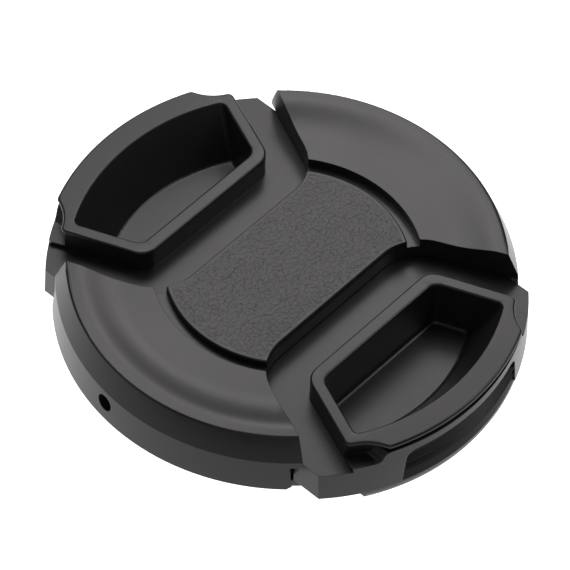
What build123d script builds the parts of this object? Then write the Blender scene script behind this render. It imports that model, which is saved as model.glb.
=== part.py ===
from build123d import *
import os
from math import cos, radians, sqrt, tan

# Clip-on lens cap with two centre-pinch latches, in millimetres.
# Z points away from the lens, X is the pinch direction, and the origin is the middle of the back face.

# Front cover: leaning outer wall, bevel and crown
cap_radius = 28.4
wall_lean = 0.45
bevel_width = 1.35
wall_foot_z = 2.4
knee_z = 7.0
crown_z = 10.4
skirt_wall = 1.4
cover_wall = 1.4
end_chamfer = 0.5
crown_round = 0.3

# Dished wings and the bridge between them
dish_outer_radius = 24.2
dish_inner_radius = 19.8
dish_depth = 1.0
wing_inner_radius = 16.5
groove_floor_z = 8.05
bridge_half_width = 7.25
bridge_corner_radius = 6.4
wing_side_start_y = 13.3
wing_side_angle = 24.8

# Grip panel on the bridge
panel_radius = 14.95
panel_top_z = 9.2
panel_thickness = 0.9
panel_edge_round = 0.2

# Lanyard hole in the outer wall
lanyard_radius = 1.15
lanyard_z = 5.1
lanyard_angle = -97.5

# Sliding plate of each latch and its travel
plate_top_z = 5.95
plate_thickness = 1.2
plate_inner_x = 5.5
pinch_travel = 2.0
slide_gap = 0.2

# Ears, ramped lip and window in the outer face of each latch
ear_foot_z = 1.65
ear_half_width = 18.9
ear_overhang = 1.5
ear_arc_x = 2.0
ear_lean = 0.25
ear_wall = 2.6
ear_side_gap = 1.55
lip_rise = 2.15
ledge_rise = 0.65
lip_half_width = 11.5
ramp_length = 1.8
window_half_width = 10.4
window_side_lean = 0.8
window_top_z = 7.0
window_corner_radius = 1.6
window_depth = 0.9

# Thread ridges behind the window, above a plain lead-in band
thread_half_width = 14.1
thread_foot_z = 0.1
lead_in_z = 1.5
lead_in_taper_z = 0.9
lead_in_taper = 0.3
ridge_count = 2
ridge_pitch = 1.5
ridge_first_z = 3.2
ridge_height = 0.7
ridge_half_base = 0.5

# Raised rim and finger pocket
rim_top_z = 9.4
rim_reach = 15.4
rim_near_width = 1.75
rim_side_width = 1.6
rim_outer_width = 3.05
rim_arc_x = 0.7
rim_corner_radius = 2.4
rim_edge_round = 0.3
rim_end_radius = 0.9
rim_band = 0.4
rim_undercut = 0.6
pocket_half_near = 9.9
pocket_side_angle = 22.5
pocket_corner_radius = 1.6
pocket_end_radius = 0.7
pocket_draft = 4.0
pocket_outer_slope = 30.3
pocket_floor_round = 0.5
tub_wall = 1.0

# Scoops at the outer corners of the rim
scoop_radius = 5.9
scoop_angle = 31.4
scoop_floor_inset = 0.6
scoop_end_round = 0.8
scoop_corner_radius = 0.8

# Back plate, its spigot, rails and the stakes that hold it
back_thickness = 1.4
back_edge_round = 0.4
spigot_gap = 0.2
spigot_wall = 1.0
spigot_height = 2.2
spigot_half_length = 13.0
boss_x = 7.5
boss_radius = 1.8
boss_gap = 0.5
stake_radius = 0.9
stake_recess = 0.3
stake_gap = 0.05
rail_width = 1.2
rail_inset = 1.2
rail_start_x = 7.5
rail_length = 9.0

# Stops that hold each latch against its springs
stop_gap = 0.1
stop_thickness = 1.4
stop_overlap = 1.2
tab_length = 2.2

# Coil springs and the posts that carry them
spring_inset = 6.4
spring_radius = 1.8
spring_wire = 0.45
spring_coils = 6
spring_end_gap = 0.05
post_length = 1.8
post_gap = 0.15
post_wall = 1.3
post_wall_width = 6.0

# Places worked out from the sizes above
knee_radius = cap_radius - wall_lean
crown_radius = knee_radius - bevel_width
skirt_inner_radius = knee_radius - skirt_wall
dish_z = crown_z - dish_depth
cover_under_z = plate_top_z + slide_gap
plate_under_z = plate_top_z - plate_thickness
wing_roof_z = dish_z - cover_wall
panel_seat_z = panel_top_z - panel_thickness
lip_z = plate_top_z + lip_rise
ledge_z = plate_top_z + ledge_rise
ear_foot_radius = cap_radius + ear_overhang - ear_arc_x
lip_radius = ear_foot_radius - ear_lean
ear_top_radius = lip_radius + ear_lean * lip_rise / (lip_z - ear_foot_z)
ear_inner_radius = lip_radius - ear_wall
cutout_half_width = ear_half_width + ear_side_gap
thread_root_radius = ear_foot_radius - window_depth
thread_crest_radius = thread_root_radius + ridge_height
rim_outer_radius = ear_arc_x + lip_radius - rim_arc_x
rim_band_z = rim_top_z - rim_band
scoop_floor_radius = cap_radius - scoop_floor_inset
pocket_outer_radius = rim_outer_radius - rim_outer_width
rim_near_x = cap_radius - rim_reach
pocket_near_x = rim_near_x + rim_near_width
pocket_floor_z = back_thickness + slide_gap + tub_wall
spigot_radius = skirt_inner_radius - spigot_gap
boss_y = ear_half_width + boss_gap + boss_radius
rail_y = ear_half_width - rail_inset - rail_width / 2
stop_inner_y = ear_half_width + slide_gap
tab_outer_y = stop_inner_y + stop_overlap
stop_face_x = sqrt(skirt_inner_radius**2 - tab_outer_y**2) - slide_gap
spring_y = ear_half_width - spring_inset
spring_z = (back_thickness + cover_under_z) / 2
post_radius = spring_radius - spring_wire - post_gap
lanyard_way = Vector(1, 0, 0).rotate(Axis.Z, lanyard_angle)
clear_of_cap = 2 * (cap_radius + ear_overhang)
ear_section = Plane.XZ.shift_origin((ear_arc_x, 0, 0))
ear_axis = Axis((ear_arc_x, 0, 0), (0, 0, 1))
rim_axis = Axis((rim_arc_x, 0, 0), (0, 0, 1))


def widening(near_x, half_near, angle):
    """Corners of a plan that widens outwards from near_x, its sides at an angle to X."""
    half_far = half_near + (clear_of_cap - near_x) * tan(radians(angle))
    return [
        (near_x, -half_near),
        (near_x, half_near),
        (clear_of_cap, half_far),
        (clear_of_cap, -half_far),
    ]


def pocket_half_width(side, near):
    """Half width of the pocket plan at near before its near edge, with its sides moved out by side."""
    lean = radians(pocket_side_angle)
    return pocket_half_near + side / cos(lean) - near * tan(lean)


# Plan of the two gaps between the wings, where the latches show
with BuildSketch() as latch_gaps:
    Polygon(*widening(bridge_half_width, wing_side_start_y, wing_side_angle), align=None)
    fillet(latch_gaps.vertices().group_by(Axis.X)[0], bridge_corner_radius)
    mirror(about=Plane.YZ)

# Front cover
with BuildPart() as front_cover:
    # Outer wall and dished wings, turned in one piece
    with BuildSketch(Plane.XZ) as wing_profile:
        with BuildLine():
            Polyline(
                (dish_outer_radius, crown_z),
                (crown_radius, crown_z),
                (knee_radius, knee_z),
                (cap_radius, wall_foot_z),
                (skirt_inner_radius, wall_foot_z),
                (skirt_inner_radius, cover_under_z),
                (wing_inner_radius, cover_under_z),
                (wing_inner_radius, dish_z),
                (dish_inner_radius, dish_z),
            )
            Spline(
                (dish_inner_radius, dish_z),
                (dish_outer_radius, crown_z),
                tangents=((1, 0), (1, 0)),
            )
        make_face()
        fillet(wing_profile.vertices().group_by(Axis.Y)[-1].sort_by(Axis.X)[-1], crown_round)
    revolve(axis=Axis.Z)
    # Bridge: a thin disc with the raised seat of the grip panel
    with BuildSketch(Plane.XY.offset(cover_under_z)):
        Circle(wing_inner_radius)
    extrude(amount=groove_floor_z - cover_under_z)
    with BuildSketch(Plane.XY.offset(groove_floor_z)):
        Circle(panel_radius)
    extrude(amount=panel_seat_z - groove_floor_z)
    # Gaps for the latches, wider below the wings than between them
    with BuildSketch(Plane.XY.offset(cover_under_z)):
        add(latch_gaps.sketch)
    extrude(amount=crown_z, mode=Mode.SUBTRACT)
    with BuildSketch(Plane.YZ):
        with BuildLine():
            Polyline(
                (0, wall_foot_z),
                (cutout_half_width + end_chamfer, wall_foot_z),
                (cutout_half_width, wall_foot_z + end_chamfer),
                (cutout_half_width, cover_under_z),
                (0, cover_under_z),
            )
            mirror(about=Plane.YZ)
        make_face()
    extrude(amount=clear_of_cap, both=True, mode=Mode.SUBTRACT)
    # Hollow under each wing
    with BuildSketch(Plane.XY.offset(cover_under_z)):
        Circle(crown_radius - cover_wall)
        Circle(wing_inner_radius + cover_wall, mode=Mode.SUBTRACT)
        offset(latch_gaps.sketch, amount=cover_wall, mode=Mode.SUBTRACT)
    extrude(amount=wing_roof_z - cover_under_z, mode=Mode.SUBTRACT)
    # Bosses that stand on the back plate, with stakes through it
    with BuildSketch(Plane.XY.offset(wing_roof_z)):
        with GridLocations(2 * boss_x, 2 * boss_y, 2, 2):
            Circle(boss_radius)
    extrude(amount=back_thickness - wing_roof_z)
    with BuildSketch(Plane.XY.offset(back_thickness)):
        with GridLocations(2 * boss_x, 2 * boss_y, 2, 2):
            Circle(stake_radius)
    extrude(amount=stake_recess - back_thickness)
    # Stops at the ends of the outer wall, which the latch tabs meet
    with BuildSketch(Plane.XY.offset(wall_foot_z)):
        stop_length = cutout_half_width + skirt_wall - stop_inner_y
        with GridLocations(2 * stop_face_x + stop_thickness, 2 * stop_inner_y + stop_length, 2, 2):
            Rectangle(stop_thickness, stop_length)
        Circle(skirt_inner_radius + skirt_wall / 2, mode=Mode.INTERSECT)
    extrude(amount=cover_under_z - wall_foot_z)
    # Lanyard hole through the outer wall
    with BuildSketch(Plane(origin=(0, 0, lanyard_z), z_dir=lanyard_way).offset(spigot_radius)):
        Circle(lanyard_radius)
    extrude(amount=cap_radius, mode=Mode.SUBTRACT)

# Grip panel
with BuildPart() as grip_panel:
    with BuildSketch(Plane.XY.offset(panel_seat_z)):
        Circle(panel_radius)
        add(latch_gaps.sketch, mode=Mode.SUBTRACT)
    extrude(amount=panel_thickness)
    fillet(grip_panel.faces().sort_by(Axis.Z)[-1].edges(), panel_edge_round)

# Back plate
with BuildPart() as back_plate:
    with BuildSketch():
        Circle(spigot_radius)
    extrude(amount=back_thickness)
    fillet(back_plate.edges().group_by(Axis.Z)[0], back_edge_round)
    # Spigot walls that locate the plate inside the cover
    with BuildSketch(Plane.XY.offset(back_thickness)):
        Circle(spigot_radius)
        Circle(spigot_radius - spigot_wall, mode=Mode.SUBTRACT)
        Rectangle(2 * spigot_half_length, 2 * clear_of_cap, mode=Mode.INTERSECT)
    extrude(amount=spigot_height)
    # Rails that carry the sliding plates
    with BuildSketch(Plane.XY.offset(back_thickness)):
        with GridLocations(2 * rail_start_x + rail_length, 2 * rail_y, 2, 2):
            Rectangle(rail_length, rail_width)
    extrude(amount=plate_under_z - slide_gap - back_thickness)
    # Room for the threaded feet of the latches when they are pinched
    with BuildSketch():
        with Locations((clear_of_cap / 2, 0)):
            Rectangle(clear_of_cap, 2 * (thread_half_width + 2 * slide_gap))
        with Locations((ear_arc_x - pinch_travel, 0)):
            Circle(ear_inner_radius - 2 * slide_gap, mode=Mode.SUBTRACT)
        mirror(about=Plane.YZ)
    extrude(amount=back_thickness, mode=Mode.SUBTRACT)
    # Stake holes
    with BuildSketch():
        with GridLocations(2 * boss_x, 2 * boss_y, 2, 2):
            Circle(stake_radius + stake_gap)
    extrude(amount=back_thickness, mode=Mode.SUBTRACT)


def pocket_form(grow, top_z):
    """The finger pocket, or with grow the tub around it: drafted sides, sloping outer wall, flat floor."""
    floor_z = pocket_floor_z - grow
    near_x = pocket_near_x - grow
    half_near = pocket_half_width(grow, grow)
    outer_radius = pocket_outer_radius + grow / cos(radians(pocket_outer_slope))
    floor_radius = outer_radius - (rim_top_z - floor_z) * tan(radians(pocket_outer_slope))
    with BuildPart() as form:
        with BuildSketch(Plane.XY.offset(rim_top_z)) as mouth:
            Polygon(*widening(near_x, half_near, pocket_side_angle), align=None)
            fillet(mouth.vertices().group_by(Axis.X)[0], pocket_corner_radius + grow)
        extrude(amount=floor_z - rim_top_z, taper=pocket_draft)
        with BuildSketch(Plane.XZ):
            Polygon(
                (rim_arc_x, floor_z),
                (rim_arc_x + floor_radius, floor_z),
                (rim_arc_x + outer_radius, rim_top_z),
                (rim_arc_x, rim_top_z),
                align=None,
            )
        revolve(axis=rim_axis, mode=Mode.INTERSECT)
        upright = form.edges().filter_by(lambda edge: edge.bounding_box().size.Z > tub_wall)
        fillet(upright.sort_by(Axis.X)[-2:], pocket_end_radius + grow)
        fillet(form.faces().sort_by(Axis.Z)[0].edges(), pocket_floor_round)
        split(bisect_by=Plane.XY.offset(top_z), keep=Keep.BOTTOM)
    return form.part


# Plan of the raised rim
with BuildSketch() as rim_plan:
    rim_half_near = pocket_half_width(rim_side_width, rim_near_width)
    Polygon(*widening(rim_near_x, rim_half_near, pocket_side_angle), align=None)
    fillet(rim_plan.vertices().group_by(Axis.X)[0], rim_corner_radius)
    with Locations((ear_arc_x, 0)):
        Circle(ear_foot_radius, mode=Mode.INTERSECT)
    fillet(rim_plan.vertices().sort_by(lambda corner: abs(corner.Y))[-2:], rim_end_radius)

# Outer wall of a latch: ears, ramps and lip as seen from outside, and a ledge under each scoop
with BuildPart() as outer_wall:
    with BuildSketch(Plane.YZ):
        with BuildLine():
            Polyline(
                (0, ear_foot_z),
                (ear_half_width, ear_foot_z),
                (ear_half_width, plate_top_z),
                (lip_half_width + ramp_length, plate_top_z),
                (lip_half_width + ramp_length, ledge_z),
            )
            Spline(
                (lip_half_width + ramp_length, ledge_z),
                (lip_half_width, lip_z),
                tangents=((-1, 0), (-1, 0)),
            )
            Line((lip_half_width, lip_z), (0, lip_z))
            mirror(about=Plane.YZ)
        make_face()
    extrude(amount=clear_of_cap)
    with BuildSketch(Plane.XY.offset(plate_top_z)):
        add(rim_plan.sketch)
    extrude(amount=ledge_rise)
    with BuildSketch(ear_section):
        Polygon(
            (ear_inner_radius, ear_foot_z),
            (ear_foot_radius, ear_foot_z),
            (lip_radius, lip_z),
            (ear_inner_radius, lip_z),
            align=None,
        )
    revolve(axis=ear_axis, mode=Mode.INTERSECT)

# Window in the outer wall, as deep as the thread root
with BuildPart() as window:
    with BuildSketch(Plane.YZ) as window_outline:
        window_half_top = window_half_width - window_side_lean
        Polygon(
            (-window_half_width, 0),
            (window_half_width, 0),
            (window_half_top, window_top_z),
            (-window_half_top, window_top_z),
            align=None,
        )
        fillet(window_outline.vertices().group_by(Axis.Y)[-1], window_corner_radius)
    extrude(amount=clear_of_cap)
    with BuildSketch():
        with Locations((ear_arc_x, 0)):
            Circle(thread_root_radius)
    extrude(amount=crown_z, mode=Mode.SUBTRACT)

# Thread ridges and lead-in band
with BuildPart() as thread:
    with BuildSketch(ear_section):
        with BuildLine():
            crests = [ridge_first_z + ridge_pitch * n for n in range(ridge_count)]
            teeth = [
                corner
                for z in crests
                for corner in (
                    (thread_root_radius, z - ridge_half_base),
                    (thread_crest_radius, z),
                    (thread_root_radius, z + ridge_half_base),
                )
            ]
            Polyline(
                (ear_inner_radius, thread_foot_z),
                (thread_crest_radius - lead_in_taper, thread_foot_z),
                (thread_crest_radius, lead_in_taper_z),
                (thread_crest_radius, lead_in_z),
                *teeth,
                (thread_root_radius, plate_top_z),
                (ear_inner_radius, plate_top_z),
                close=True,
            )
        make_face()
    revolve(axis=ear_axis)
    with BuildSketch(Plane.YZ):
        Rectangle(2 * thread_half_width, 2 * crown_z)
    extrude(amount=clear_of_cap, mode=Mode.INTERSECT)

# Plan inside the outer edge of the rim and the scoops at its outer corners
with BuildSketch() as rim_bound:
    with Locations((rim_arc_x, 0)):
        Circle(rim_outer_radius)
    with PolarLocations(
        scoop_floor_radius + scoop_radius, 2, -scoop_angle, 2 * scoop_angle, endpoint=True
    ):
        Circle(scoop_radius, mode=Mode.SUBTRACT)
    fillet(rim_bound.vertices().filter_by(lambda end: abs(end.Y) > scoop_radius), scoop_end_round)

# Pinch latch at +X
with BuildPart() as pinch_latch_right:
    # Sliding plate
    with BuildSketch(Plane.XY.offset(plate_under_z)):
        with Locations((plate_inner_x + clear_of_cap / 2, 0)):
            Rectangle(clear_of_cap, 2 * ear_half_width)
        with Locations((ear_arc_x, 0)):
            Circle(ear_top_radius, mode=Mode.INTERSECT)
    extrude(amount=plate_thickness)
    # Raised rim: its body, and an edge band that overhangs the body like the top of a groove
    with BuildSketch(Plane.XY.offset(plate_top_z)):
        add(rim_plan.sketch)
        offset(rim_bound.sketch, amount=-rim_undercut, mode=Mode.INTERSECT)
    extrude(amount=rim_band_z - plate_top_z)
    with BuildSketch(Plane.XY.offset(rim_band_z)) as band_plan:
        add(rim_plan.sketch)
        add(rim_bound.sketch, mode=Mode.INTERSECT)
        fillet(band_plan.vertices().sort_by(lambda corner: abs(corner.Y))[-2:], scoop_corner_radius)
    extrude(amount=rim_band)
    # Outer wall with its window and thread, and the stop tabs of the plate
    add(outer_wall.part)
    add(window.part, mode=Mode.SUBTRACT)
    add(thread.part)
    with BuildSketch(Plane.XY.offset(plate_under_z)):
        with Locations((stop_face_x - stop_gap - tab_length / 2, 0)):
            Rectangle(tab_length, 2 * tab_outer_y)
    extrude(amount=plate_thickness)
    # Tub and finger pocket
    add(pocket_form(tub_wall, plate_top_z))
    add(pocket_form(0, rim_top_z), mode=Mode.SUBTRACT)
    fillet(pinch_latch_right.faces().sort_by(Axis.Z)[-1].edges(), rim_edge_round)
    # Spring posts on walls below the inner end of the plate
    with BuildSketch(Plane.XY.offset(plate_under_z)):
        with Locations((plate_inner_x + post_wall / 2, 0)):
            with GridLocations(0, 2 * spring_y, 1, 2):
                Rectangle(post_wall, post_wall_width)
    extrude(amount=back_thickness + slide_gap - plate_under_z)
    with BuildSketch(Plane.YZ.offset(plate_inner_x)):
        with Locations((0, spring_z)):
            with GridLocations(2 * spring_y, 0, 2, 1):
                Circle(post_radius)
    extrude(amount=-post_length)

# Pinch latch at -X, the same moulding turned round
with BuildPart() as pinch_latch_left:
    add(pinch_latch_right.part, rotation=(0, 0, 180))


def coil_spring(y):
    """A compression spring along X between the two latches, on the posts at y."""
    length = 2 * (plate_inner_x - spring_end_gap)
    height = length - spring_wire
    with BuildPart() as spring:
        with BuildLine() as coil:
            Helix(
                pitch=height / spring_coils,
                height=height,
                radius=spring_radius - spring_wire / 2,
                center=(-height / 2, y, spring_z),
                direction=(1, 0, 0),
            )
        with BuildSketch(Plane(origin=coil.line @ 0, z_dir=coil.line % 0)):
            Circle(spring_wire / 2)
        sweep()
    return spring


spring_front = coil_spring(-spring_y)
spring_back = coil_spring(spring_y)

os.makedirs("parts", exist_ok=True)
front_cover.part.label = "front_cover"
grip_panel.part.label = "grip_panel"
back_plate.part.label = "back_plate"
pinch_latch_right.part.label = "pinch_latch_right"
pinch_latch_left.part.label = "pinch_latch_left"
spring_front.part.label = "spring_front"
spring_back.part.label = "spring_back"
export_step(front_cover.part, "parts/front_cover.step")
export_step(grip_panel.part, "parts/grip_panel.step")
export_step(back_plate.part, "parts/back_plate.step")
export_step(pinch_latch_right.part, "parts/pinch_latch_right.step")
export_step(pinch_latch_left.part, "parts/pinch_latch_left.step")
export_step(spring_front.part, "parts/spring_front.step")
export_step(spring_back.part, "parts/spring_back.step")
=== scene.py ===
# %% [markdown]
# # A clip-on lens cap, dressed around its CAD frame
# The object is a black centre-pinch cap for a camera lens: a round cover with two dished wings,
# a grained grip panel across its middle, and two sprung latches with a finger pocket each.
# The CAD model already holds the forms and the motion, so it is loaded as a fixed frame, and the
# lesson adds what a solid model lacks: moulded finishes, real grain, wound springs, light and a camera.

# %% Load the frame
import math

import bmesh
import bpy
import numpy as np
from mathutils import Matrix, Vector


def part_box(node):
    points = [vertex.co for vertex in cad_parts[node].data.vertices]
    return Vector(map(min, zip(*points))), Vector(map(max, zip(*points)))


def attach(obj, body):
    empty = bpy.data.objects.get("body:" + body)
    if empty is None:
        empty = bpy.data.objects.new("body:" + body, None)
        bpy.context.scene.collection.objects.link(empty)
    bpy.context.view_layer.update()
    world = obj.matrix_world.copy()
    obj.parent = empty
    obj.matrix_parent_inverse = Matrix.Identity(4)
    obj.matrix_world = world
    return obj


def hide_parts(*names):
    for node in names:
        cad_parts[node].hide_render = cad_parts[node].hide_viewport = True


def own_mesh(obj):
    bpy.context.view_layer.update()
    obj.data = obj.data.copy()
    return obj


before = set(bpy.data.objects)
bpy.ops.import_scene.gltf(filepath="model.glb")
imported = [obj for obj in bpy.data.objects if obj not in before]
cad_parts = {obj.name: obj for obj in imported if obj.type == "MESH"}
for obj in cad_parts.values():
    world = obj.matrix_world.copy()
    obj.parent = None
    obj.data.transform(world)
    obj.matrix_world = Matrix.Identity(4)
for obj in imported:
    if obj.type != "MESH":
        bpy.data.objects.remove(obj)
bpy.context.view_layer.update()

scene = bpy.context.scene
MM = 0.001
for node_name in sorted(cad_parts):
    low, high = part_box(node_name)
    print(node_name, [round((high[k] - low[k]) / MM, 2) for k in range(3)], "mm")

# %% [markdown]
# ## The camera
# The cap lies on a white table and a long lens looks down on it, a little turned. The angle, the
# distance and the small roll were fitted to the cap's own circles, so they are plain numbers here.
# The camera's matrix is written from three axes instead of aimed with a constraint, because that
# keeps the roll exact.

# %% Aim the camera
view_azimuth = math.radians(40.724)
view_elevation = math.radians(51.877)
view_roll = math.radians(2.2816)
view_distance = 517.9 * MM
view_target = np.array([1.099, -1.590, 7.560]) * MM
lens_length = 272.02
sensor_width = 36.0
clip_near, clip_far = 0.01, 50.0


def camera_axes(azimuth, elevation, roll):
    """Right, up and backward directions of a camera: azimuth turns it about Z from looking along +Y,
    elevation lifts it over the floor, and roll turns right and up about the line of sight."""
    backward = np.array([math.sin(azimuth) * math.cos(elevation),
                         -math.cos(azimuth) * math.cos(elevation),
                         math.sin(elevation)])
    right = np.cross(-backward, [0.0, 0.0, 1.0])
    right /= np.linalg.norm(right)
    up = np.cross(backward, right)
    turned_right = math.cos(roll) * right + math.sin(roll) * up
    turned_up = math.cos(roll) * up - math.sin(roll) * right
    return turned_right, turned_up, backward


right_axis, up_axis, back_axis = camera_axes(view_azimuth, view_elevation, view_roll)
camera_data = bpy.data.cameras.new("cap_camera")
camera_data.lens = lens_length
camera_data.sensor_width = sensor_width
camera_data.clip_start = clip_near
camera_data.clip_end = clip_far
camera = bpy.data.objects.new("cap_camera", camera_data)
scene.collection.objects.link(camera)
camera_pose = np.eye(4)
camera_pose[:3, 0], camera_pose[:3, 1], camera_pose[:3, 2] = right_axis, up_axis, back_axis
camera_pose[:3, 3] = view_target + view_distance * back_axis
camera.matrix_world = Matrix(camera_pose.tolist())
scene.camera = camera
print("camera at", np.round(camera_pose[:3, 3] / MM, 1), "mm")

# %% [markdown]
# ## Grids of points become meshes
# Every new shape in this lesson is a grid of points that numpy works out at once. One helper joins
# neighbouring points with quads, and wraps the columns round when the shape closes on itself.
# Writing the arrays straight into the mesh is far quicker than adding vertices one at a time.

# %% Turn point grids into meshes
weld_distance = 0.002 * MM


def grid_quads(rows, columns, wrap_columns=False):
    """Corner numbers of the quads of a grid: each quad takes a point, its neighbour along the columns,
    the one across, and the one along the rows, and wrapped columns join the last to the first."""
    row = np.arange(rows - 1)[:, None]
    column = np.arange(columns if wrap_columns else columns - 1)[None, :]
    next_row = row + 1
    next_column = (column + 1) % columns
    corners = [row * columns + column, row * columns + next_column,
               next_row * columns + next_column, next_row * columns + column]
    return np.stack(np.broadcast_arrays(*corners), axis=-1).reshape(-1, 4)


def piece_from_quads(name, points, quads):
    """A Blender object at the origin whose mesh has these points and these four-cornered faces."""
    mesh = bpy.data.meshes.new(name)
    mesh.from_pydata(np.asarray(points).reshape(-1, 3).tolist(), [], quads.tolist())
    mesh.polygons.foreach_set("use_smooth", np.ones(len(mesh.polygons), bool))
    mesh.update()
    piece = bpy.data.objects.new(name, mesh)
    scene.collection.objects.link(piece)
    print(name, len(mesh.vertices), "points,", len(mesh.polygons), "faces")
    return piece


def weld(mesh):
    """Joins points of a mesh that lie within the weld distance of each other."""
    shape = bmesh.new()
    shape.from_mesh(mesh)
    bmesh.ops.remove_doubles(shape, verts=shape.verts, dist=weld_distance)
    shape.to_mesh(mesh)
    shape.free()


def mesh_points(mesh):
    """All points of a mesh as rows of x, y and z."""
    points = np.empty(3 * len(mesh.vertices))
    mesh.vertices.foreach_get("co", points)
    return points.reshape(-1, 3)


def edge_ends(mesh):
    """The numbers of the two end points of every edge of a mesh, one edge in each row."""
    ends = np.empty(2 * len(mesh.edges), int)
    mesh.edges.foreach_get("vertices", ends)
    return ends.reshape(-1, 2)


# %% [markdown]
# ## Shader maths as Python
# A finish is a small sum over the surface: some noise, scaled, added to a roughness. Node trees hide
# such sums in boxes and wires, so one class wraps a socket and lets the sum be written as a sum.
# Everything that isn't arithmetic comes from its one node method.

# %% Wrap sockets for shader maths


class Shade:
    """One value in a material's node tree. Arithmetic on it adds Math nodes, in either order."""

    def __init__(self, tree, socket=None):
        self.tree = tree
        self.socket = socket

    def node(self, kind, settings=None, sockets=None, output=0):
        """Adds a node of a kind, sets its settings first, then the values or links of its sockets."""
        made = self.tree.nodes.new(kind)
        for key, value in (settings or {}).items():
            setattr(made, key, value)
        for key, value in (sockets or {}).items():
            if isinstance(value, Shade):
                self.tree.links.new(value.socket, made.inputs[key])
            else:
                made.inputs[key].default_value = value
        return Shade(self.tree, made.outputs[output])

    def maths(self, operation, *values):
        """A Math node of an operation on up to three values."""
        return self.node("ShaderNodeMath", {"operation": operation}, dict(enumerate(values)))

    def __add__(self, other):
        return self.maths("ADD", self, other)

    def __radd__(self, other):
        return self.maths("ADD", other, self)

    def __sub__(self, other):
        return self.maths("SUBTRACT", self, other)

    def __rsub__(self, other):
        return self.maths("SUBTRACT", other, self)

    def __mul__(self, other):
        return self.maths("MULTIPLY", self, other)

    def __rmul__(self, other):
        return self.maths("MULTIPLY", other, self)

    def between(self, low, high):
        """0 below low, 1 above high, and a smooth step between."""
        return self.node("ShaderNodeMapRange", {"interpolation_type": "SMOOTHSTEP"},
                         {"Value": self, "From Min": low, "From Max": high})

    def colour(self, first, second):
        """The mix from the first colour, where the value is 0, to the second, where it is 1. The Mix
        node has the same socket names for numbers and colours, so its colours go by number."""
        return self.node("ShaderNodeMix", {"data_type": "RGBA"},
                         {"Factor": self, 6: (*first, 1.0), 7: (*second, 1.0)}, output=2)


def new_finish(name):
    """An empty material with a Principled shader, and the Shade that starts its sums."""
    material = bpy.data.materials.new(name)
    material.use_nodes = True
    tree = material.node_tree
    tree.nodes.clear()
    shader = tree.nodes.new("ShaderNodeBsdfPrincipled")
    output = tree.nodes.new("ShaderNodeOutputMaterial")
    tree.links.new(shader.outputs[0], output.inputs["Surface"])
    return material, shader, Shade(tree)


def feed(shader, start, sockets):
    """Sets a shader's sockets: a Shade is linked, and a plain value goes straight on the socket."""
    for key, value in sockets.items():
        if isinstance(value, Shade):
            start.tree.links.new(value.socket, shader.inputs[key])
        else:
            shader.inputs[key].default_value = value


# %% [markdown]
# ## The table and the light
# Small black things are often photographed on a lit white table, so that no shadow shows and every
# wall that looks down at the table is drawn by its reflection. The table here is a plain pale plane
# that glows. To the camera it is white all over. What the plastic mirrors is a pool of light behind the
# cap that fades in front of it, as if dark cards lay there out of the picture, so the near walls stay
# black. From below the table is open, so that a view from underneath finds the cap and not the table.

# %% Build the table


def table_points(half_size, steps):
    """A flat square grid a hair under the cap: x and y run evenly from minus to plus half the size."""
    along = np.linspace(-half_size, half_size, steps)
    x, y = np.meshgrid(along, along, indexing="xy")
    return np.stack([x, y, np.full_like(x, -table_gap)], axis=-1)


table_half_size = 1.5
table_steps = 5
table_gap = 0.02 * MM
glow_centre = (-0.023, 0.026, 0.0)
glow_strength = 1.45
glow_radius, frame_radius, fade_radius = 0.036, 0.082, 0.104
near_loss, far_loss = 0.55, 0.40
table_tones = ((0.24, 0.24, 0.24), (0.26, 0.26, 0.26))
white, black = (1.0, 1.0, 1.0), (0.0, 0.0, 0.0)
table = piece_from_quads("white_table", table_points(table_half_size, table_steps),
                         grid_quads(table_steps, table_steps))
material, shader, start = new_finish("white_table")
place = start.node("ShaderNodeTexCoord", output="Object")
mottle = start.node("ShaderNodeTexNoise", None, {"Vector": place, "Scale": 6.0, "Detail": 2.0})
from_glow = start.node("ShaderNodeVectorMath", {"operation": "DISTANCE"},
                       {0: place, 1: glow_centre}, output="Value")
dimmed = (from_glow.between(glow_radius, frame_radius) * near_loss
          + from_glow.between(frame_radius, fade_radius) * far_loss)
mirrored = 1.0 - start.node("ShaderNodeLightPath", output="Is Camera Ray")
seen_from_below = start.node("ShaderNodeNewGeometry", output="Backfacing")
feed(shader, start, {
    "Base Color": mottle.colour(*table_tones),
    "Roughness": 0.8,
    "Emission Color": (dimmed * mirrored).colour(white, black),
    "Emission Strength": glow_strength,
    "Alpha": 1.0 - seen_from_below,
})
table.data.materials.append(material)

# %% [markdown]
# ## Lamp boxes round the cap
# Black plastic shows what it mirrors more than its own colour. The flat tops and the dished wings
# mirror four lamp boxes behind the cap, which leave soft gaps between them, and one at the right draws
# the edges there. Two wide, dim ones in front and at the left only fill in, so the walls that face the
# camera stay nearly black. A lamp's brightness to the eye is its power spread over its area and all
# directions, so power is worked out from that. The lamps are a touch warm, as in the picture.

# %% Hang the lights
lamp_tint = (1.0, 0.965, 0.975)
room_light = 0.08
# Name, azimuth and elevation in degrees, distance, width and height in metres, brightness.
lamp_list = [
    ("left_lamp", 158.0, 58.0, 0.16, 0.070, 0.052, 3.7),
    ("right_lamp", 118.0, 49.0, 0.16, 0.066, 0.052, 3.9),
    ("low_lamp", 138.0, 38.0, 0.16, 0.074, 0.042, 2.0),
    ("top_lamp", 136.0, 71.0, 0.40, 0.26, 0.14, 1.8),
    ("side_lamp", 50.0, 45.0, 0.40, 0.14, 0.14, 5.0),
    ("front_fill", -49.0, 36.0, 0.70, 0.60, 0.50, 0.45),
    ("left_fill", 225.0, 34.0, 0.60, 0.40, 0.40, 0.45),
]


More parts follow.
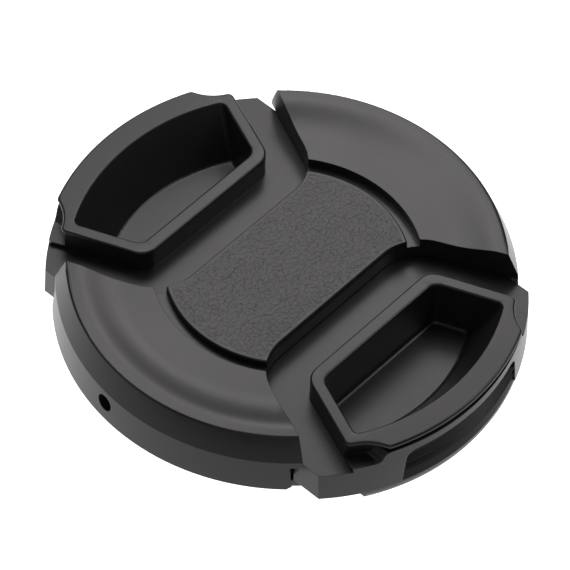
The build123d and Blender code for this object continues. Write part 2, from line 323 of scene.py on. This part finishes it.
def lamp_box(name, azimuth, elevation, distance, width, height, brightness):
    """A flat lamp at a distance from the cap, at an azimuth from +X and an elevation in degrees, facing
    the cap; its power is brightness times its area times pi."""
    data = bpy.data.lights.new(name, "AREA")
    data.shape = "RECTANGLE"
    data.size, data.size_y = width, height
    data.energy = brightness * width * height * math.pi
    data.color = lamp_tint
    turn, lift = math.radians(azimuth), math.radians(elevation)
    away = np.array([math.cos(turn) * math.cos(lift),
                     math.sin(turn) * math.cos(lift),
                     math.sin(lift)])
    side = np.array([-math.sin(turn), math.cos(turn), 0.0])
    pose = np.eye(4)
    pose[:3, 0], pose[:3, 1], pose[:3, 2] = side, np.cross(away, side), away
    pose[:3, 3] = view_target + distance * away
    lamp = bpy.data.objects.new(name, data)
    lamp.matrix_world = Matrix(pose.tolist())
    scene.collection.objects.link(lamp)
    print(name, "at", np.round(pose[:3, 3] / MM), "mm,", round(data.energy, 2), "W")


for lamp_row in lamp_list:
    lamp_box(*lamp_row)

world = bpy.data.worlds.new("studio")
scene.world = world
world.use_nodes = True
room = world.node_tree.nodes["Background"]
room.inputs["Color"].default_value = (*white, 1.0)
in_picture = Shade(world.node_tree).node("ShaderNodeLightPath", output="Is Camera Ray")
room_strength = in_picture * (1.0 - room_light) + room_light
world.node_tree.links.new(room_strength.socket, room.inputs["Strength"])
scene.view_settings.view_transform = "Standard"

# %% [markdown]
# ## Black moulded plastic
# Cover, latches and back are moulded in black plastic from a finely blasted mould: satin, never
# mirror bright, with a faint cloudiness from the flow of the melt. Real edges are never knife sharp,
# so the Bevel node rounds the shading over a tenth of a millimetre. Where it bends the normal most the
# plastic is a little shinier, and its colour is lifted there, partly as wear and partly as a painted edge
# highlight.

# %% Mix the plastics
plastic_ior = 1.46
edge_radius = 0.12 * MM
blast_depth = 0.02 * MM
dark_share, light_share = 0.85, 1.25


def moulded_plastic(name, tone, roughness):
    """A satin plastic: dark tone with cloudy flow marks, roughness that wanders, blasted grain as bump."""
    material, shader, start = new_finish(name)
    place = start.node("ShaderNodeTexCoord", output="Object")
    flow = start.node("ShaderNodeTexNoise", None, {"Vector": place, "Scale": 90.0, "Detail": 3.0})
    grain = start.node("ShaderNodeTexNoise", None, {"Vector": place, "Scale": 6500.0, "Detail": 1.0})
    rounded = start.node("ShaderNodeBevel", {"samples": 4}, {"Radius": edge_radius})
    facing = start.node("ShaderNodeNewGeometry", output="Normal")
    edge = 1.0 - start.node("ShaderNodeVectorMath", {"operation": "DOT_PRODUCT"},
                            {0: rounded, 1: facing}, output="Value")
    # Bent edges get a lighter colour: partly wear, partly a painted edge highlight.
    edge_wear_and_highlight = edge.between(0.02, 0.30) * flow.between(0.35, 0.65)
    shade = (flow * 0.7 + edge_wear_and_highlight * 0.5).between(0.1, 1.0)
    bump = start.node("ShaderNodeBump", None,
                      {"Strength": 0.10, "Distance": blast_depth, "Height": grain, "Normal": rounded})
    feed(shader, start, {
        "Base Color": shade.colour([dark_share * t for t in tone], [light_share * t for t in tone]),
        "Roughness": roughness + (flow - 0.5) * 0.10 - edge_wear_and_highlight * 0.06,
        "Normal": bump,
        "IOR": plastic_ior,
    })
    print(name, "tone", tone, "roughness", roughness)
    return material


cover_plastic = moulded_plastic("cover_plastic", (0.0145, 0.0138, 0.0140), 0.30)
latch_plastic = moulded_plastic("latch_plastic", (0.0140, 0.0135, 0.0136), 0.33)
back_plastic = moulded_plastic("back_plastic", (0.0145, 0.0138, 0.0140), 0.42)

# %% [markdown]
# ## The dish of the wings
# The wings sink towards the middle of the cap in a shallow dish, which a moulder turns into the steel
# with one curved profile. Its slope decides where the lamps show, so it is drawn more gently here than
# in the solid: the same depth over a longer run. A copy of the cover gets more rings on its crown,
# and each point takes its height from its radius alone, as on a lathe. The knee where the wall turns
# into the bevel is creased too, because its blunt angle would be smoothed away.

# %% Dish the wings
crown_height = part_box("front_cover")[1][2]
dish_depth = 1.0 * MM
dish_start, dish_end = 19.8 * MM, 25.4 * MM
dish_easing = (1.2, 0.6)
slope_end, crown_end = 24.3 * MM, 26.7 * MM
band_width, band_cuts = 1.0 * MM, 6
start_slack = 0.05 * MM
flat_slack = 0.01 * MM
knee_height = 7.0 * MM


def dish_rise(radius):
    """Height of the wings over their floor at a radius: the running sum of a hump that is steepest two
    thirds of the way out, from nothing at the dish's start to its full depth at the end."""
    share = np.linspace(0.0, 1.0, 200)
    hump = share**dish_easing[0] * (1.0 - share)**dish_easing[1]
    rise = np.cumsum(hump) / np.sum(hump)
    return dish_depth * np.interp((radius - dish_start) / (dish_end - dish_start), share, rise)


def dish_wings(mesh):
    """Cuts the flat crown band into rings, then sets the height of every point on the wings' tops by
    its radius."""
    points = mesh_points(mesh)
    radius = np.hypot(points[:, 0], points[:, 1])
    ends = edge_ends(mesh)
    on_crown = points[ends, 2].min(axis=1) > crown_height - flat_slack
    crosses = np.ptp(radius[ends], axis=1) > band_width
    shape = bmesh.new()
    shape.from_mesh(mesh)
    shape.edges.ensure_lookup_table()
    crossing = [shape.edges[k] for k in np.flatnonzero(on_crown & crosses)]
    bmesh.ops.subdivide_edges(shape, edges=crossing, cuts=band_cuts, use_grid_fill=True)
    bmesh.ops.triangulate(shape, faces=shape.faces)
    shape.to_mesh(mesh)
    shape.free()
    points = mesh_points(mesh)
    radius = np.hypot(points[:, 0], points[:, 1])
    floor = crown_height - dish_depth
    on_top = (points[:, 2] > floor - flat_slack) & (radius > dish_start - start_slack) & (radius < crown_end)
    on_top &= (points[:, 2] > crown_height - flat_slack) | (radius < slope_end)
    points[on_top, 2] = floor + dish_rise(radius[on_top])
    mesh.vertices.foreach_set("co", points.ravel())
    mesh.update()
    print("dished", int(on_top.sum()), "points,", len(crossing), "edges cut")


def sharpen_knee(mesh):
    """Creases the ring of edges where the outer wall turns into the bevel, too blunt an angle to be
    found as sharp."""
    heights = mesh_points(mesh)[edge_ends(mesh), 2]
    on_knee = np.abs(heights - knee_height).max(axis=1) < flat_slack
    sharp = np.empty(len(mesh.edges), bool)
    mesh.edges.foreach_get("use_edge_sharp", sharp)
    mesh.edges.foreach_set("use_edge_sharp", sharp | on_knee)
    print("creased", int(on_knee.sum()), "edges of the knee")


# %% [markdown]
# ## Smooth mouldings from the CAD solids
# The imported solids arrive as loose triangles, so light breaks on every facet. A copy of each one is
# welded, and its normals are weighted by face size so that flats stay flat and rounds read as round.
# Apart from the dish of the wings, the forms are those of the solids.

# %% Weld and smooth the mouldings
crease = math.radians(24.0)


def smooth_moulding(node, body, material):
    """A welded copy of a CAD node that is smooth over gentle angles and creased over sharp ones."""
    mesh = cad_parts[node].data.copy()
    if "custom_normal" in mesh.attributes:
        mesh.attributes.remove(mesh.attributes["custom_normal"])
    weld(mesh)
    if node == "front_cover":
        dish_wings(mesh)
    mesh.polygons.foreach_set("use_smooth", np.ones(len(mesh.polygons), bool))
    mesh.set_sharp_from_angle(angle=crease)
    if node == "front_cover":
        sharpen_knee(mesh)
    mesh.materials.clear()
    mesh.materials.append(material)
    piece = bpy.data.objects.new("moulded_" + node, mesh)
    scene.collection.objects.link(piece)
    weights = piece.modifiers.new("flat_faces_first", "WEIGHTED_NORMAL")
    weights.keep_sharp = True
    weights.weight = 100
    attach(piece, body)
    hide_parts(node)
    print(piece.name, len(mesh.polygons), "triangles")


smooth_moulding("front_cover", "shell", cover_plastic)
smooth_moulding("pinch_latch_right", "latch_right", latch_plastic)
smooth_moulding("pinch_latch_left", "latch_left", latch_plastic)
smooth_moulding("back_plate", "shell", back_plastic)

# %% [markdown]
# ## The grip panel
# Across the middle lies a panel with a fine leathery grain, where a thumb rests while the cap goes on.
# On the real part the grain is etched into the steel mould, so it is real relief and not a print.
# Here one grid of points covers the panel's outline, and each point sinks into three fields of pebbles,
# wrinkles and folds: the nearest two of many scattered centres give a bump that falls to a crease
# where two bumps meet, and waves push the centres about so that the creases wander.

# %% Outline the panel
panel_low, panel_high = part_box("grip_panel")
panel_radius = panel_high[1]
panel_corner_x = panel_high[0]
bridge_half_width = 7.25 * MM
flare_radius = 6.4 * MM
flare_start_y = 9.207 * MM
panel_edge_round = 0.2 * MM
panel_edge_tuck = 1.0 * MM


def panel_half_width(y):
    """Half the panel's width at y: constant along the bridge, then a round flare, and never more than
    at the corners, where the flare meets the panel's circle."""
    past = np.clip(np.abs(y) - flare_start_y, 0.0, flare_radius)
    flared = bridge_half_width + flare_radius - np.sqrt(flare_radius**2 - past**2)
    return np.minimum(flared, panel_corner_x)


def panel_plan(across, along, inset):
    """Points of the panel's plan, its edge moved in by inset: along runs from end to end on the panel's
    circle, and across from side to side, both from -1 to 1."""
    half_length = np.sqrt(panel_radius**2 - (panel_corner_x * across)**2)
    y = along * half_length
    return across * (panel_half_width(y) - inset), along * (half_length - inset)


# %% Scatter the pebbles
pebble_size, pebble_crease, pebble_share = 0.42 * MM, 0.45, 0.42
wrinkle_size, wrinkle_crease, wrinkle_share = 0.22 * MM, 0.45, 0.22
fold_size, fold_crease, fold_share = 0.80 * MM, 0.24, 0.36
pebble_height = 0.055 * MM
warp_depth = 0.16 * MM
short_waves = (0.41 * MM, 0.37 * MM)
long_waves = (0.93 * MM, 1.07 * MM)
grain_seed = 7


def pebble_field(x, y, size, crease_share, seed):
    """Height from 0 to 1 over the plane: one centre lies at random in each square of a size, and the
    height is a smooth step of how much nearer the nearest centre is than the second nearest, full
    beyond a crease that is a share of the size wide."""
    column, row = np.floor(x / size).astype(int), np.floor(y / size).astype(int)
    spread = 2 + max(np.abs(column).max(), np.abs(row).max())
    jitter = np.random.default_rng(seed).uniform(0.05, 0.95, (2 * spread + 1, 2 * spread + 1, 2))
    nearest = np.full(x.shape, np.inf)
    second = np.full(x.shape, np.inf)
    for step_x in (-1, 0, 1):
        for step_y in (-1, 0, 1):
            near = jitter[column + step_x + spread, row + step_y + spread]
            gap = np.hypot((column + step_x + near[..., 0]) * size - x,
                           (row + step_y + near[..., 1]) * size - y)
            second = np.minimum(second, np.maximum(nearest, gap))
            nearest = np.minimum(nearest, gap)
    rise = np.clip((second - nearest) / (crease_share * size), 0.0, 1.0)
    return rise * rise * (3.0 - 2.0 * rise)


def warped(x, y):
    """The plane pushed about by waves inside waves, so that pebbles turn into uneven, crinkled plates."""
    return (x + warp_depth * np.sin(y / short_waves[0] + 2.0 * np.sin(x / long_waves[0])),
            y + warp_depth * np.sin(x / short_waves[1] + 2.0 * np.sin(y / long_waves[1])))


# %% Build the panel
panel_columns, panel_rows = 200, 380
edge_steps = 6
fade_width = 0.25 * MM
across, along = np.meshgrid(np.linspace(-1, 1, panel_columns), np.linspace(-1, 1, panel_rows))
top_x, top_y = panel_plan(across, along, panel_edge_round)
grain_x, grain_y = warped(top_x, top_y)
pebble = pebble_field(grain_x, grain_y, pebble_size, pebble_crease, grain_seed)
wrinkle = pebble_field(grain_x, grain_y, wrinkle_size, wrinkle_crease, grain_seed + 1)
fold = pebble_field(grain_x, grain_y, fold_size, fold_crease, grain_seed + 2)
edge_room = np.minimum((1 - np.abs(across)) * bridge_half_width, (1 - np.abs(along)) * panel_radius)
fade = np.clip(edge_room / fade_width, 0.0, 1.0)
grain_height = pebble_share * pebble + wrinkle_share * wrinkle + fold_share * fold
relief = fade * pebble_height * (grain_height - 1.0)
top = np.stack([top_x, top_y, panel_high[2] + relief], axis=-1)

# The rounded edge and the side are one profile, carried round the plan's border.
ring = np.linspace(-1, 1, panel_columns)[:-1]
side = np.linspace(-1, 1, panel_rows)[:-1]
ring_across = np.concatenate([ring, np.ones_like(side), -ring, -np.ones_like(side)])
ring_along = np.concatenate([-np.ones_like(ring), side, np.ones_like(ring), -side])
bend = np.linspace(0.0, math.pi / 2, edge_steps)
edge_inset = np.append(panel_edge_round * (1 - np.sin(bend)), [0.0, panel_edge_tuck])
edge_z = np.append(panel_high[2] - panel_edge_round * (1 - np.cos(bend)), [panel_low[2]] * 2)
edge_x, edge_y = panel_plan(ring_across[None, :], ring_along[None, :], edge_inset[:, None])
edge = np.stack([edge_x, edge_y, np.broadcast_to(edge_z[:, None], edge_x.shape)], axis=-1)

panel_points = np.concatenate([top.reshape(-1, 3), edge.reshape(-1, 3)])
edge_quads = grid_quads(len(edge_z), len(ring_across), wrap_columns=True)[:, ::-1]
panel_quads = np.concatenate([grid_quads(panel_rows, panel_columns), edge_quads + top_x.size])
panel = piece_from_quads("grained_panel", panel_points, panel_quads)
weld(panel.data)
panel.data.attributes.new("pebble", "FLOAT", "POINT")
panel_heights = mesh_points(panel.data)[:, 2]
raised = np.clip(1.0 + (panel_heights - panel_high[2]) / pebble_height, 0.0, 1.0)
panel.data.attributes["pebble"].data.foreach_set("value", raised.astype(np.float32))
print("grain", round((panel_high[2] - top[..., 2].min()) / MM, 3), "mm deep")
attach(panel, "shell")
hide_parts("grip_panel")

# %% [markdown]
# ## The panel's finish
# The tops of the pebbles get polished by thumbs, and the creases scatter light. The relief was kept as a
# number on each point, so the finish can follow it: rougher in the creases and smoother on the tops,
# with painted shade darkening the creases and a painted highlight lightening the tops.

# %% Finish the panel
material, shader, start = new_finish("panel_grain")
place = start.node("ShaderNodeTexCoord", output="Object")
height = start.node("ShaderNodeAttribute", {"attribute_name": "pebble"}, output="Fac")
speck = start.node("ShaderNodeTexNoise", None, {"Vector": place, "Scale": 5200.0, "Detail": 2.0})
cloud = start.node("ShaderNodeTexNoise", None, {"Vector": place, "Scale": 160.0, "Detail": 2.0})
# Darker in the creases is painted shade and lighter on the tops is a painted highlight; cloud and speck are
# random tone.
relief_shade_and_mottle = height.between(0.1, 0.9) * 0.7 + cloud * 0.15 + speck * 0.15
grit = start.node("ShaderNodeBump", None, {"Strength": 0.25, "Distance": 0.02 * MM, "Height": speck})
feed(shader, start, {
    "Base Color": relief_shade_and_mottle.colour((0.010, 0.010, 0.010), (0.044, 0.043, 0.043)),
    "Roughness": 0.50 - 0.16 * relief_shade_and_mottle,
    "Normal": grit,
    "IOR": plastic_ior,
})
panel.data.materials.append(material)

# %% [markdown]
# ## The springs
# Two coil springs push the latches apart. A winder draws steel wire round a mandrel and closes the
# pitch over the last turn, so that the ends sit flat against their posts. Each spring is drawn as two
# halves that meet at the middle, because each latch squeezes its own half.

# %% Wind the springs
wire_radius = 0.225 * MM
half_turns = 3.25
open_share, easing_share = 0.62, 0.16
tip_share = 0.006


def half_spring_points(low, high, side, along_steps, round_steps):
    """A tube round half a helix about the spring's X axis: from the middle outwards the pitch eases from
    open to the wire's own thickness, the angle grows evenly, and a small circle of wire is carried along."""
    centre = (np.array(low) + np.array(high)) / 2
    coil_radius = (high[1] - low[1]) / 2 - wire_radius
    reach = (high[0] - low[0]) / 2 - wire_radius
    share = np.linspace(0.0, 1.0, along_steps)
    close = np.clip((share - open_share) / easing_share, 0.0, 1.0)
    closed_pitch = 2.0 * wire_radius * half_turns / reach
    pitch = 1.0 - close * close * (3.0 - 2.0 * close) * (1.0 - closed_pitch)
    x = np.cumsum(pitch) - pitch[0]
    x *= reach / x[-1]
    turn = 2.0 * math.pi * half_turns * share * side
    out = np.stack([np.zeros_like(turn), np.cos(turn), np.sin(turn)], axis=-1)
    path = centre + np.stack([side * x, coil_radius * out[:, 1], coil_radius * out[:, 2]], axis=-1)
    ahead = np.gradient(path, axis=0)
    ahead /= np.linalg.norm(ahead, axis=1, keepdims=True)
    across_wire = np.cross(ahead, out)
    round_wire = np.linspace(0.0, 2.0 * math.pi, round_steps, endpoint=False)
    taper = np.sqrt(np.clip((1.0 - share) / tip_share, 0.0, 1.0))[:, None, None]
    ring = (np.cos(round_wire)[None, :, None] * out[:, None, :]
            + np.sin(round_wire)[None, :, None] * across_wire[:, None, :])
    return path[:, None, :] + wire_radius * taper * ring


spring_along, spring_round = 420, 14
spring_halves = []
for spring_node in ("spring_front", "spring_back"):
    spring_low, spring_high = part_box(spring_node)
    for side_name, side, joint in (("right", 1, "right_pinch"), ("left", -1, "left_pinch")):
        points = half_spring_points(spring_low, spring_high, side, spring_along, spring_round)
        quads = grid_quads(spring_along, spring_round, wrap_columns=True)[:, ::side]
        half = piece_from_quads(spring_node + "_" + side_name, points, quads)
        weld(half.data)
        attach(half, "shell")
        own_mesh(half)
        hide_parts(spring_node)
        spring_halves.append(half)

# %% [markdown]
# ## Spring steel
# Drawn wire keeps fine lengthwise lines from the die and a thin film of oil from the winder. Noise
# that is long round the coil and short along the spring gives those lines, and a slow second noise
# gives the film.

# %% Finish the springs
material, shader, start = new_finish("spring_steel")
place = start.node("ShaderNodeTexCoord", output="Object")
stretched = start.node("ShaderNodeMapping", None, {"Vector": place, "Scale": (9000.0, 500.0, 500.0)})
lines = start.node("ShaderNodeTexNoise", None, {"Vector": stretched, "Scale": 1.0, "Detail": 2.0})
film = start.node("ShaderNodeTexNoise", None, {"Vector": place, "Scale": 400.0, "Detail": 1.0})
feed(shader, start, {
    "Base Color": film.colour((0.46, 0.45, 0.43), (0.60, 0.59, 0.57)),
    "Roughness": 0.24 + lines * 0.16,
    "Metallic": 1.0,
    "Normal": start.node("ShaderNodeBump", None,
                         {"Strength": 0.15, "Distance": 0.01 * MM, "Height": lines}),
})
for half in spring_halves:
    half.data.materials.append(material)
